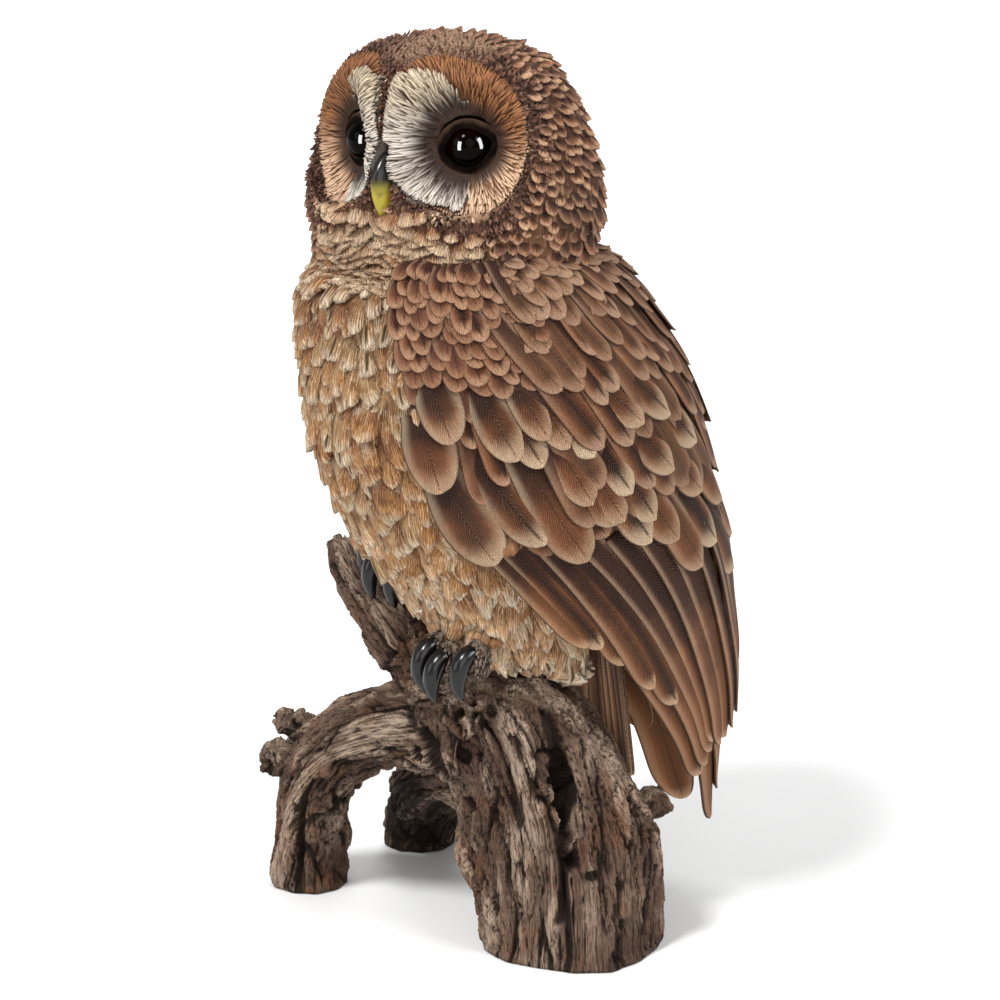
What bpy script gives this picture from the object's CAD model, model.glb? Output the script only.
"""A life-size garden statue of a tawny owl on a gnarled log: painted cast resin with glass eyes.

Shapes are worked out in millimetres round the bird's own axis: +Z up, the breast faces -Y and the bird's
left side is +X. They are set down in the shared frame, in metres, when each mesh is made.
"""

import bpy
import itertools
import math
import numpy as np
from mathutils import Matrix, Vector, noise
from mathutils.bvhtree import BVHTree


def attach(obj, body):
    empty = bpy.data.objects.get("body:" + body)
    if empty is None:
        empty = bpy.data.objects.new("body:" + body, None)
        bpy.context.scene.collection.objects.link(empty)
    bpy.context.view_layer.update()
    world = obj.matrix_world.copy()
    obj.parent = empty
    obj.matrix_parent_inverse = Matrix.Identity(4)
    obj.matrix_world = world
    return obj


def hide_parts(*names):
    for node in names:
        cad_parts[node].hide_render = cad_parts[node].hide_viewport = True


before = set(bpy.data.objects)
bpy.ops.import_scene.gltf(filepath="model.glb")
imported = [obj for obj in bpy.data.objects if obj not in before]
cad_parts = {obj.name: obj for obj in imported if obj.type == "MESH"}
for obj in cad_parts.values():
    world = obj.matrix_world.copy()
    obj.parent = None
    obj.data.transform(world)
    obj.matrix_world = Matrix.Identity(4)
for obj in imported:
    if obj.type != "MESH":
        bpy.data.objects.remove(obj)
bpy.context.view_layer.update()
bpy.ops.object.select_all(action="DESELECT")

METRE = 1000.0
BIRD_AXIS = np.array([25.264, -14.606, 0.0])
DOWN = np.array([0, 0, -1.0])
SIDES = ((1, "left"), (-1, "right"))


# ---------------------------------------------------------------- meshes and where they stand
def in_frame(points):
    """Millimetres round the bird's axis to metres in the shared frame."""
    return (np.asarray(points, float) + BIRD_AXIS) / METRE


def at(point):
    """One place in the shared frame, as the modelling tools take it."""
    return tuple(in_frame(point))


def coordinates(mesh):
    """The mesh's points in millimetres round the bird's axis."""
    flat = np.empty(len(mesh.vertices) * 3)
    mesh.vertices.foreach_get("co", flat)
    return flat.reshape(-1, 3) * METRE - BIRD_AXIS


def set_coordinates(mesh, points):
    """Moves the mesh's points to these, in millimetres round the bird's axis."""
    mesh.vertices.foreach_set("co", in_frame(points).ravel())
    mesh.update()


def add_mesh(name, points, faces):
    """A piece from points in millimetres and the faces between them."""
    mesh = bpy.data.meshes.new(name)
    mesh.from_pydata(in_frame(points).tolist(), [], faces.tolist())
    mesh.update()
    piece = bpy.data.objects.new(name, mesh)
    bpy.context.scene.collection.objects.link(piece)
    mesh.shade_smooth()
    return piece


def add_attribute(mesh, name, values):
    """Keeps a number, or three numbers, for each point of the mesh."""
    values = np.asarray(values, np.float32)
    if values.ndim == 1:
        mesh.attributes.new(name, "FLOAT", "POINT").data.foreach_set("value", values)
    else:
        mesh.attributes.new(name, "FLOAT_VECTOR", "POINT").data.foreach_set("vector", values.ravel())


def add_uv(mesh, name, per_point):
    """Lays the mesh out flat, with a place for each of its points."""
    layer = mesh.uv_layers.new(name=name)
    corners = np.empty(len(mesh.loops), int)
    mesh.loops.foreach_get("vertex_index", corners)
    layer.data.foreach_set("uv", np.asarray(per_point, np.float32)[corners].ravel())


def activate(piece):
    """Selects this piece alone."""
    bpy.ops.object.select_all(action="DESELECT")
    piece.select_set(True)
    bpy.context.view_layer.objects.active = piece


def modify(piece, kind, **settings):
    """Adds one modifier with its settings and applies it."""
    activate(piece)
    modifier = piece.modifiers.new(kind.title(), kind)
    for key, value in settings.items():
        setattr(modifier, key, value)
    bpy.ops.object.modifier_apply(modifier=modifier.name)


def edit_all(piece, tool, **settings):
    """Uses one of the edit tools on the whole of a piece."""
    activate(piece)
    bpy.ops.object.mode_set(mode="EDIT")
    bpy.ops.mesh.select_all(action="SELECT")
    tool(**settings)
    bpy.ops.object.mode_set(mode="OBJECT")


def joined_copy(name, nodes):
    """Copies of these solids in one mesh, its doubled points merged."""
    copies = []
    for node in nodes:
        copy = bpy.data.objects.new(name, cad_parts[node].data.copy())
        bpy.context.scene.collection.objects.link(copy)
        copies.append(copy)
    activate(copies[0])
    for copy in copies:
        copy.select_set(True)
    bpy.ops.object.join()
    whole = copies[0]
    whole.data.materials.clear()
    edit_all(whole, bpy.ops.mesh.remove_doubles, threshold=1e-6)
    return whole


def set_down(piece, *replaced, slot, finish):
    """Gives a finished piece its body, the solids that it stands for, its slot and its finish."""
    if not piece.data.materials:
        piece.data.materials.append(finish)
    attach(piece, "root")
    if replaced:
        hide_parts(*replaced)
    return piece


# ---------------------------------------------------------------- sums on rows of points
def unit(vectors):
    return vectors / np.maximum(np.linalg.norm(vectors, axis=-1, keepdims=True), 1e-9)


def dot(a, b):
    return (a * b).sum(-1, keepdims=True)


def laid(directions, out):
    """Directions laid flat on a surface that faces out."""
    return unit(directions - dot(directions, out) * out)


def swayed(directions, out, rng, most):
    """Directions on a surface, each turned to one side or the other by so much at most."""
    return unit(directions + np.cross(out, directions) * rng.uniform(-most, most, (len(directions), 1)))


def ease(x, low, high):
    """0 at low and 1 at high, smooth between; low may be the larger of the two."""
    t = np.clip((np.asarray(x, float) - low) / (high - low), 0, 1)
    return t * t * (3 - 2 * t)


def bell(x, middle, width):
    return np.exp(-(((x - middle) / width) ** 2))


def in_box(points, low, high):
    return ((points > low) & (points < high)).all(axis=1)


def rough_at(places, scale, seed):
    """Smooth noise at these places, about -1 to 1."""
    return np.array([noise.noise(Vector(p)) for p in (places * scale + seed).tolist()])


def table_curve(rows):
    """Reads a table, each row a key and its values, on a smooth curve through the rows."""
    table = np.array(sorted(rows), float)
    keys, values = table[:, 0], table[:, 1:]
    slopes = np.gradient(values, keys, axis=0)

    def read(key):
        key = np.clip(key, keys[0], keys[-1])
        i = np.clip(np.searchsorted(keys, key, side="right") - 1, 0, len(keys) - 2)
        step = (keys[i + 1] - keys[i])[..., None]
        t = (key - keys[i])[..., None] / step
        start = values[i] * (1 + 2 * t) * (1 - t) ** 2 + slopes[i] * step * t * (1 - t) ** 2
        end = values[i + 1] * t * t * (3 - 2 * t) + slopes[i + 1] * step * t * t * (t - 1)
        return np.moveaxis(start + end, -1, 0)

    return read


# ---------------------------------------------------------------- what feathers lie on
class Hide:
    """A closed skin: its points, its faces and its outward directions, smoothed in so many rounds."""

    def __init__(self, points, faces, rounds):
        self.points = points
        self.faces = faces
        self.tree = BVHTree.FromPolygons(points.tolist(), faces.tolist())
        a, b, c = (points[faces[:, k]] for k in range(3))
        normals = np.zeros_like(points)
        for corner in range(3):
            np.add.at(normals, faces[:, corner], np.cross(b - a, c - a))
        edges = np.concatenate([faces[:, [0, 1]], faces[:, [1, 2]], faces[:, [2, 0]]])
        normals = unit(normals)
        for _ in range(rounds):
            total = normals.copy()
            np.add.at(total, edges[:, 0], normals[edges[:, 1]])
            np.add.at(total, edges[:, 1], normals[edges[:, 0]])
            normals = unit(total)
        self.normals = normals

    def onto(self, points):
        """The nearest points on the skin and its outward directions there."""
        found = [self.tree.find_nearest(point) for point in points.reshape(-1, 3).tolist()]
        near = np.array([hit[0] for hit in found])
        corners = self.faces[[hit[2] for hit in found]]
        a, b, c = (self.points[corners[:, k]] for k in range(3))
        ab, ac, ap = b - a, c - a, near - a
        ab_ab, ab_ac, ac_ac = dot(ab, ab), dot(ab, ac), dot(ac, ac)
        ap_ab, ap_ac = dot(ap, ab), dot(ap, ac)
        scale = np.maximum(ab_ab * ac_ac - ab_ac * ab_ac, 1e-12)
        b_share = (ac_ac * ap_ab - ab_ac * ap_ac) / scale
        c_share = (ab_ab * ap_ac - ab_ac * ap_ab) / scale
        out_a, out_b, out_c = (self.normals[corners[:, k]] for k in range(3))
        out = (1 - b_share - c_share) * out_a + b_share * out_b + c_share * out_c
        return near.reshape(points.shape), unit(out).reshape(points.shape)

    def seen_along(self, points, direction):
        """Where lines from these points in one direction first meet the skin; else the nearest points."""
        found = []
        for point in points.tolist():
            hit = self.tree.ray_cast(point, direction)[0]
            found.append(self.tree.find_nearest(point)[0] if hit is None else hit)
        return np.array(found)


def hide_of(piece, rounds=8):
    """A piece's mesh as something that feathers lie on."""
    piece.data.calc_loop_triangles()
    faces = np.empty(len(piece.data.loop_triangles) * 3, int)
    piece.data.loop_triangles.foreach_get("vertices", faces)
    return Hide(coordinates(piece.data), faces.reshape(-1, 3), rounds)


# The wrap that both folded wings lie on: height, centre, half width, half depth.
WRAP = [
    [30, 63, 28, 52],
    [60, 54, 39, 60],
    [90, 49, 47, 68],
    [120, 42, 54, 75],
    [152, 33, 64, 77],
    [180, 22, 72, 82.5],
    [208, 10, 77, 86.5],
    [235, 2, 79, 86],
    [262, -6, 77, 82],
    [284, -13, 71, 75],
    [295, -17, 69, 71],
    [304, -20, 65, 65],
    [314, -22, 58, 52],
]
wrap_at = table_curve(WRAP)


def on_wrap(z, angle):
    """The point on the wrap at a height and an angle from the front in degrees."""
    centre, half_width, half_depth = wrap_at(z)
    turn = np.radians(angle)
    x = half_width * np.sin(turn)
    return np.stack([x, centre - half_depth * np.cos(turn), z + 0 * x], -1)


def wrap_angle(points):
    """How far round the wrap a point is from its front, in degrees."""
    centre, half_width, half_depth = wrap_at(points[..., 2])
    return np.degrees(np.arctan2(points[..., 0] / half_width, (centre - points[..., 1]) / half_depth))


class Wrap:
    """The wings' wrap as something that feathers lie on."""

    def onto(self, points):
        z = np.clip(points[..., 2], WRAP[0][0], WRAP[-1][0])
        angle = wrap_angle(points)
        near = on_wrap(z, angle)
        near[..., 2] = points[..., 2]
        around = on_wrap(z, angle + 0.5) - on_wrap(z, angle - 0.5)
        up = on_wrap(z + 0.5, angle) - on_wrap(z - 0.5, angle)
        return near, unit(np.cross(around, up))


# The tail: a fan that hangs behind the log, arched across.
TAIL = {"root_y": 52, "root_z": 150, "tip_y": 62, "tip_z": 64, "spread": 20, "arch": 5}


class TailFan:
    """The arched plane that the tail feathers lie on; its outward side is the back."""

    def onto(self, points):
        share = (TAIL["root_z"] - points[..., 2]) / (TAIL["root_z"] - TAIL["tip_z"])
        y = TAIL["root_y"] + share * (TAIL["tip_y"] - TAIL["root_y"])
        y = y - TAIL["arch"] * (points[..., 0] / TAIL["spread"]) ** 2
        near = np.stack([points[..., 0], y, points[..., 2]], -1)
        slope = 2 * TAIL["arch"] * points[..., 0] / TAIL["spread"] ** 2
        return near, unit(np.stack([slope, np.ones_like(y), 0.1 + 0 * y], -1))


# ---------------------------------------------------------------- feathers
class Form:
    """How one kind of feather is made. Lengths are in millimetres."""

    columns = 7
    rows = 6  # up to where the tip starts to round
    tip_rows = 5
    roundness = 0.55  # length of the rounding for each unit of width
    root_width = 0.6
    root_lift = -1.0
    tip_lift = 2.0
    curl = 0.0  # more lift at the last of the tip
    camber = 0.8
    thickness = 1.2
    edge = 0.45  # share of the thickness left at the edges
    roll = 0.4
    furrow = 0.0  # depth of the grooves
    furrow_pitch = 2.4
    slanted = True  # grooves leave the shaft sideways; else they run along the feather
    waver = 0.0
    rag = 0.0  # how uneven the tip's edge is
    patch = 0.003

    def __init__(self, **changes):
        for key, value in changes.items():
            setattr(self, key, value)

    def stations(self, lengths, widths):
        """Where each feather's rows lie along it and how wide it is there, both as shares."""
        tip = np.clip(self.roundness * widths / lengths, 0.04, 0.75)[:, None]
        body = np.linspace(0, 1, self.rows, endpoint=False)[None, :]
        turn = np.linspace(0, math.radians(80), self.tip_rows)[None, :]
        along = np.concatenate([body * (1 - tip), 1 - tip + tip * np.sin(turn)], 1)
        grown = self.root_width + (1 - self.root_width) * ease(body, 0, 0.9) + 0 * tip
        return along, np.concatenate([grown, np.cos(turn) + 0 * tip], 1)


def unwrap(points):
    """The skin's own shape laid flat: round the bird's axis, and from the ground over the crown."""
    around = np.arctan2(points[..., 0], -points[..., 1]) / (2 * math.pi) + 0.5
    from_axis = np.hypot(points[..., 0], points[..., 1] + 10)
    up = 0.76 * points[..., 2] / 400 + 0.22 * (1 - np.clip(from_axis / 80, 0, 1)) * (points[..., 2] > 330)
    return np.stack([0.02 + 0.96 * around, 0.01 + 0.98 * up], -1)


def grow(surface, roots, lies, lengths, rows, bend=0.0):
    """Centre lines that start at the roots and follow the surface the way the feathers lie."""
    spines = [roots]
    place, _ = surface.onto(roots)
    heading = lies
    for _ in range(rows - 1):
        _, out = surface.onto(place)
        heading = laid(heading, out)
        heading = unit(heading + np.cross(out, heading) * np.asarray(bend).reshape(-1, 1) / rows)
        place, _ = surface.onto(place + heading * (lengths[:, None] / (rows - 1)))
        spines.append(place)
    return np.stack(spines, 1)


def read_lines(lines, along):
    """The points at these shares of the way along each line."""
    at = along * (lines.shape[1] - 1)
    low = np.clip(at.astype(int), 0, lines.shape[1] - 2)
    share = (at - low)[..., None]
    start = np.take_along_axis(lines, low[..., None], 1)
    end = np.take_along_axis(lines, low[..., None] + 1, 1)
    return start * (1 - share) + end * share


def slab_faces(count, rows, columns):
    """The faces of so many closed slabs, each a grid of points on top and the same grid below."""
    grid = np.arange(rows * columns).reshape(rows, columns)
    top = np.stack([grid[:-1, :-1], grid[:-1, 1:], grid[1:, 1:], grid[1:, :-1]], -1).reshape(-1, 4)
    bottom = top[:, ::-1] + grid.size
    rim = np.concatenate([grid[0, :-1], grid[:-1, -1], grid[-1, :0:-1], grid[:0:-1, 0]])
    ahead = np.roll(rim, -1)
    wall = np.stack([rim + grid.size, ahead + grid.size, ahead, rim], -1)
    pattern = np.concatenate([top, bottom, wall])
    return (pattern[None] + (np.arange(count) * 2 * grid.size)[:, None, None]).reshape(-1, 4)


def furrows(form, offset, span, along, tint):
    """How far round its wave each point's groove is, in whole turns."""
    if form.slanted:
        return (span - np.abs(offset) * (1 + 2.2 * along**2)) / form.furrow_pitch
    return offset * (1.3 - 0.5 * along) / form.furrow_pitch + form.waver * np.sin(span / 4 + 9 * tint)


EDGE_CROWDING = math.pi / 2 * 0.8  # how the columns of a feather crowd towards its edges


def feathers(name, surface, spines, widths, form, seed, lift=0.0, loft=1.0):
    """Solid feathers in one mesh, each laid along its line on the surface.

    In the sums below u is the share of the way across a feather, -1 to 1, and v that along it, 0 to 1."""
    rng = np.random.default_rng(seed)
    count, columns = len(spines), form.columns
    widths = np.asarray(widths, float)
    lengths = np.linalg.norm(np.diff(spines, axis=1), axis=-1).sum(1)
    along, narrowing = form.stations(lengths, widths)
    rows = along.shape[1]
    lift = np.broadcast_to(lift, (count,))[:, None, None]
    loft = np.broadcast_to(loft, (count,))[:, None, None]
    across = np.sin(np.linspace(-1, 1, columns) * EDGE_CROWDING) / math.sin(EDGE_CROWDING)
    base, out = surface.onto(read_lines(spines, along))
    run = unit(np.gradient(base, axis=1))
    side = unit(np.cross(run, out))
    half = widths[:, None] / 2 * narrowing
    tint = rng.random(count)[:, None, None]
    sway = rng.uniform(-1, 1, (count, 1, 1))
    offset = half[:, :, None] * across
    points = base[:, :, None, :] + side[:, :, None, :] * offset[..., None]
    v = along[:, :, None]
    u = across[None, None, :]
    if form.rag:
        lag = form.rag * rng.random((count, 1, columns)) * v**3
        points = points - run[:, :, None, :] * lag[..., None]
    near, normal = surface.onto(points)
    span = lengths[:, None, None] * v
    arch = form.camber * (1 - u**2) * (0.4 + 0.6 * np.sin(v * math.pi * 0.8))
    height = form.root_lift + ((form.tip_lift - form.root_lift) * v + form.curl * v**3 + arch) * loft
    height = height + form.roll * u * (0.6 + sway)
    turns = furrows(form, offset, span, v, tint) + 7 * tint
    height = height + form.furrow * np.sin(2 * math.pi * turns) * ease(v, 0.05, 0.3)
    height = height + lift + 0.3 * sway
    top = near + normal * height[..., None]
    thickness = form.thickness * (1 - (1 - form.edge) * u**2)
    bottom = near + normal * (height - thickness)[..., None]
    size = rows * columns
    solid = np.stack([top.reshape(count, size, 3), bottom.reshape(count, size, 3)], 1).reshape(-1, 3)
    piece = add_mesh(name, solid, slab_faces(count, rows, columns))

    def per_point(*parts):
        grid = np.stack(np.broadcast_arrays(*parts), -1).reshape(count, 1, size, len(parts))
        return np.repeat(grid, 2, 1).reshape(-1, len(parts))

    add_attribute(piece.data, "vane", per_point(u + 0 * v, v, tint))
    add_attribute(piece.data, "span", per_point(offset, span, lengths[:, None, None] - span))
    flat = per_point(*[unwrap(base[:, 0])[:, k][:, None, None] + 0 * offset for k in range(2)])
    add_uv(piece.data, "OFBake", flat + per_point(0.5 * u + 0 * v, v - 0.5) * form.patch)
    return piece


NEIGHBOURS = list(itertools.product((-1, 0, 1), repeat=3))


def scattered(candidates, spacing, seed):
    """Picks places at random, none closer to another than its spacing, and sorts them from the top down."""
    cell = float(spacing.max())
    kept, cells = [], {}
    for i in np.random.default_rng(seed).permutation(len(candidates)):
        place = candidates[i]
        x, y, z = (place // cell).astype(int)
        clear = True
        for dx, dy, dz in NEIGHBOURS:
            for j in cells.get((x + dx, y + dy, z + dz), ()):
                gap = candidates[j] - place
                if gap @ gap < (0.5 * (spacing[i] + spacing[j])) ** 2:
                    clear = False
        if clear:
            kept.append(i)
            cells.setdefault((x, y, z), []).append(i)
    return np.array(sorted(kept, key=lambda i: -candidates[i][2]))


def planted(surface, candidates, spacing, seed):
    """Roots spread over these places: where they are, their spacings, outwards there, and more draws."""
    spacing = np.broadcast_to(spacing, (len(candidates),))
    picked = scattered(candidates, spacing, seed)
    roots = candidates[picked]
    return roots, spacing[picked], surface.onto(roots)[1], np.random.default_rng(seed + 1)


# ---------------------------------------------------------------- the head's own frame
HEAD_TURN = math.radians(22)  # the head looks towards the bird's left
HEAD_AXIS = np.array([0, -23, 0.0])
DISC_SPLAY = math.radians(25)
EYE_OPENING = np.array([26.8, -27.2, 356.6])
EYE_RADIUS = 9.7
EYE_SUNK = 4.5
EYE_BACK = 6  # from the ball's middle to its flat back
EYE_DROP = 1.4  # how far the eye sits below the middle of its disc's rays
LID_RADIUS = 8.4
LID_THICKNESS = 0.85
LID_FORWARD = 0.6
LID_LEAN = math.radians(12)
SKIRT_SPREAD = 3.8
SKIRT_SLOPE = -0.32
OUTER_CORNER = 2.6
INNER_CORNER = 1.2


def turned(vectors, angle):
    """Vectors turned about the upright axis."""
    vectors = np.asarray(vectors, float)
    cos, sin = math.cos(angle), math.sin(angle)
    x, y = vectors[..., 0], vectors[..., 1]
    return np.stack([cos * x - sin * y, sin * x + cos * y, vectors[..., 2]], -1)


def head_to_bird(points):
    return turned(points, HEAD_TURN) + HEAD_AXIS


def bird_to_head(points):
    return turned(np.asarray(points, float) - HEAD_AXIS, -HEAD_TURN)


def eye_place(side):
    """The middle of one eye's opening, in the head's frame."""
    return EYE_OPENING * np.array([side, 1, 1])


def disc_axes(side):
    """Outwards and forwards of one half of the face, in the head's frame."""
    outward = np.array([side * math.cos(DISC_SPLAY), math.sin(DISC_SPLAY), 0])
    gaze = np.array([side * math.sin(DISC_SPLAY), -math.cos(DISC_SPLAY), 0])
    return outward, gaze


# The pale face round one eye: the turn (0 outwards, 90 up, 180 to the bill) and how far it reaches.
FACE_EDGE = [
    [-180, 32],
    [-157, 31],
    [-143, 31.5],
    [-120, 29],
    [-95, 28.5],
    [-68, 29.6],
    [-37, 27],
    [-10, 25.6],
    [20, 26],
    [40, 27.5],
    [60, 29.8],
    [87, 32.6],
    [110, 37.3],
    [125, 38.9],
    [138, 39.4],
    [154, 35.4],
    [180, 32],
]
# The pale fan beside the bill, in the same way.
FAN_EDGE = [
    [-180, 45],
    [-146, 38],
    [-125, 29],
    [-108, 25.5],
    [-92, 24],
    [-84, 12],
    [-76, 0],
    [76, 0],
    [84, 13.6],
    [97, 17.5],
    [105, 25],
    [120, 32],
    [132, 36],
    [142, 42],
    [180, 45],
]
face_edge = table_curve(FACE_EDGE)
fan_edge = table_curve(FAN_EDGE)


def disc_place(points, side):
    """Round one eye in the plane of its disc: the turn, the reach, the share of the way to the pale face's
    edge, and how far in front of the lids."""
    local = bird_to_head(points)
    outward, gaze = disc_axes(side)
    eye = eye_place(side)
    out, up = (local - eye) @ outward, local[..., 2] - eye[2]
    turn, reach = np.degrees(np.arctan2(up, out)), np.hypot(out, up)
    return turn, reach, reach / face_edge(turn)[0], (local - eye) @ gaze


# ---------------------------------------------------------------- skin
SKIN_NODES = ["head", "neck", "face_disc_left", "face_disc_right", "trunk"]
SKIN_NODES += ["wing_left_coverts", "wing_right_coverts", "leg_left", "leg_right", "foot_left", "foot_right"]
SKIN_GRAIN = 2.0
COAT_DEPTH = {"body": 4.0, "head": 2.6, "face": 2.0}
RIDGE_HEIGHT = 4.5  # of the ridge between each eye and the bill
FURROW_DEPTH = 3.0  # of the furrow between the ridges
RUMP_RISE = 5

skin = joined_copy("skin", SKIN_NODES)
modify(skin, "REMESH", mode="VOXEL", voxel_size=SKIN_GRAIN / METRE)
modify(skin, "SMOOTH", factor=0.5, iterations=6)


def shape_skin():
    """Draws the skin in by the depth of the coat and raises the ridges between the eyes and the bill."""
    hide = hide_of(skin, rounds=10)
    points = hide.points.copy()
    depth = np.where(points[:, 2] > 322, COAT_DEPTH["head"], COAT_DEPTH["body"])
    for side, _ in SIDES:
        _, _, share, front = disc_place(points, side)
        depth = np.where((share < 1.2) & (front > -12), COAT_DEPTH["face"], depth)
    points = points - hide.normals * depth[:, None]
    rear = ease(points[:, 1], -24, -8) * (points[:, 2] < 156)
    points[:, 2] += RUMP_RISE * rear * ease(points[:, 2], 156, 122)
    local = bird_to_head(points)
    for side, _ in SIDES:
        reach = bell(local[:, 0], side * 8.5, 4.5) * ease(local[:, 2], 340, 350)
        reach = reach * (1 - ease(local[:, 2], 380, 392)) * (local[:, 1] < -20)
        local[:, 1] -= RIDGE_HEIGHT * reach
    furrow = bell(local[:, 0], 0, 2.6) * ease(local[:, 2], 350, 358) * (1 - ease(local[:, 2], 382, 390))
    local[:, 1] += FURROW_DEPTH * furrow * (local[:, 1] < -20)
    set_coordinates(skin.data, head_to_bird(local))


shape_skin()
skin_hide = hide_of(skin)
wing_wrap = Wrap()
tail_fan = TailFan()


# ---------------------------------------------------------------- wings
# Long feathers of a wing: the height and angle of the root, those of the tip, the width, and how far the
# feather lies over the wrap. Others are set between the primaries and between the secondaries.
PRIMARIES = [
    [186, 62, 69, 121, 16, -0.8],
    [196, 72, 76, 125, 15, 0.0],
    [200, 84, 86, 125, 15, 0.8],
    [202, 96, 82, 132, 15, 1.6],
    [202, 108, 84, 141, 15, 2.2],
    [200, 122, 90, 152, 16, 2.7],
    [200, 136, 102, 161, 17, 3.1],
    [200, 150, 118, 167, 19, 3.4],
    [198, 165, 136, 180, 20, 2.2],
]
SECONDARIES = [
    [206, 46, 150, 69, 15, -0.6],
    [210, 52, 147, 74, 14, 0.2],
    [208, 60, 128, 88, 14, 0.0],
    [206, 68, 112, 101, 15, -0.2],
]
INNERMOST = [[176, 68, 37, 157, 24, -1.6], [176, 76, 52, 160, 20, -1.2]]
FRONT_COVERTS = [
    [254, 38, 223, 41, 23, 0.6],
    [232, 40, 193, 50, 25, 0.8],
    [240, 50, 201, 65, 19, 0.3],
    [246, 62, 193, 75, 20, 1.0],
    [246, 72, 207, 86, 16, 0.7],
    [238, 84, 197, 95, 17, 1.0],
    [236, 92, 194, 105, 17, 0.6],
    [226, 100, 179, 113, 19, 1.0],
    [222, 112, 186, 124, 18, 0.5],
    [214, 124, 167, 139, 20, 1.0],
    [222, 136, 180, 150, 20, 0.5],
    [222, 150, 184, 160, 20, 0.8],
    [222, 160, 190, 169, 20, 0.5],
    [222, 172, 184, 178, 20, 0.2],
    [208, 174, 160, 184, 22, -0.6],
]
MIDDLE_COVERTS = [
    [270, 43, 244, 47, 19, 1.2],
    [266, 56, 237, 63, 18, 1.2],
    [262, 62, 234, 69, 14, 0.8],
    [270, 66, 245, 72, 14, 1.3],
    [266, 71, 241, 77, 14, 1.0],
    [262, 77, 236, 83, 14, 1.3],
    [250, 72, 217, 80, 15, 1.5],
    [240, 80, 208, 88, 15, 1.6],
    [246, 84, 219, 92, 15, 1.4],
    [238, 90, 206, 98, 16, 1.4],
    [272, 88, 246, 101, 15, 1.4],
    [250, 96, 225, 108, 17, 1.5],
    [276, 98, 247, 112, 16, 1.4],
    [242, 106, 211, 120, 16, 1.4],
    [236, 120, 202, 134, 17, 1.3],
    [258, 110, 232, 122, 17, 1.5],
]
WRAP_RADIUS = 78
TOP_OF_WING = 313
LIE_LEAN = 24  # degrees that small wing feathers lean back
# The wing's front edge: heights, and its angle there.
WING_EDGE = np.array([
    [146, 70],
    [160, 64],
    [172, 58],
    [184, 52],
    [197, 45],
    [212, 40],
    [230, 36],
    [270, 34],
    [286, 35],
    [298, 46],
])
# The same for the front feather of each lower row.
ROW_EDGE = np.array([[194, 60], [206, 52], [212, 47], [230, 40]])
FAR_LEAD = 6  # degrees that the front edge of the right wing sits further back
FAR_SHOULDER = 58  # where its top rows start
# Rows of smaller feathers: the heights of their tips, the angles they run between, their widths in the top
# and in the bottom row, their length for each unit of the gap to the row above, and their lift.
SHOULDER_ROWS = {
    "heights": [304, 299, 294, 288.5, 283, 277, 271, 264],
    "front": 37, "back": 82, "narrow": 7, "wide": 10.5, "overlap": 2.6, "lift": 0.5,
}
BACK_ROWS = {
    "heights": [306, 298, 287, 273, 256, 236, 214],
    "front": 78, "back": 182, "narrow": 8.5, "wide": 14, "overlap": 2.4, "lift": 1.4,
}
UNDER_ROWS = {
    "heights": [256, 240, 222, 202],
    "front": 40, "back": 172, "narrow": 13, "wide": 16, "overlap": 2.4, "lift": -1.4,
}

covert_form = Form(
    columns=17, rows=14, tip_rows=10, roundness=0.8, root_width=0.75, root_lift=-2.6, tip_lift=1.6, curl=0.8,
    camber=1.7, thickness=1.6, roll=0.8, patch=0.03,
)
small_form = Form(
    columns=11, rows=8, tip_rows=7, roundness=0.72, root_width=0.75, root_lift=-2.2, tip_lift=0.9, curl=0.3,
    camber=0.8, thickness=1.2, roll=1.0, patch=0.012,
)
flight_form = Form(
    columns=11, rows=24, tip_rows=8, roundness=1.1, root_width=0.75, root_lift=-2.0, tip_lift=0.4, camber=1.2,
    thickness=2.2, edge=0.4, roll=1.5, patch=0.03,
)

RIGHT_TUCK = 0.45  # share of the way to the tuck angle that the far wing's tips are drawn in
TUCK_ANGLE = 166
TUCK_RANGE = (150, 60)
WING_SEED = {"left": 11, "right": 12}


def wrap_lines(table, side):
    """Centre lines on the wrap for a table of feathers; the right wing's tips are drawn in to the tail."""
    share = np.linspace(0, 1, 24)
    z = table[:, :1] + (table[:, 2:3] - table[:, :1]) * share
    angle = table[:, 1:2] + (table[:, 3:4] - table[:, 1:2]) * share
    tuck = RIGHT_TUCK if side < 0 else 0.0
    angle = angle + tuck * ease(z, *TUCK_RANGE) * np.maximum(0, TUCK_ANGLE - angle)
    return on_wrap(z, side * angle)


def feather_rows(seed, heights, front, back, narrow, wide, overlap, lift):
    """Rows of feathers down the wing, each row set between those of the last, none quite like another."""
    rng = np.random.default_rng(seed)
    edge = np.append(ROW_EDGE, [[250, front]], 0)
    table = []
    for i, height in enumerate(heights):
        lead = np.interp(height, *edge.T) if front < ROW_EDGE[0][1] else front
        row_width = narrow + (wide - narrow) * i / (len(heights) - 1)
        pitch = math.degrees(0.74 * row_width / WRAP_RADIUS)
        gap = heights[max(i, 1) - 1] - heights[max(i, 1)]
        for angle in np.arange(lead + 0.5 * pitch * (i % 2), back, pitch):
            width = row_width * rng.uniform(0.8, 1.25)
            length = gap * overlap * rng.uniform(0.85, 1.25)
            z = height + rng.uniform(-0.42, 0.42) * gap
            tip = angle + rng.uniform(-0.25, 0.25) * pitch
            lean = LIE_LEAN * ease(angle, 45, 80) * ease(angle, 180, 120) + rng.uniform(-9, 9)
            root = tip - math.degrees(length * math.sin(math.radians(lean)) / WRAP_RADIUS)
            table.append([min(z + length, TOP_OF_WING), root, z, tip, width, lift + rng.uniform(-0.6, 0.8)])
    return table


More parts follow.
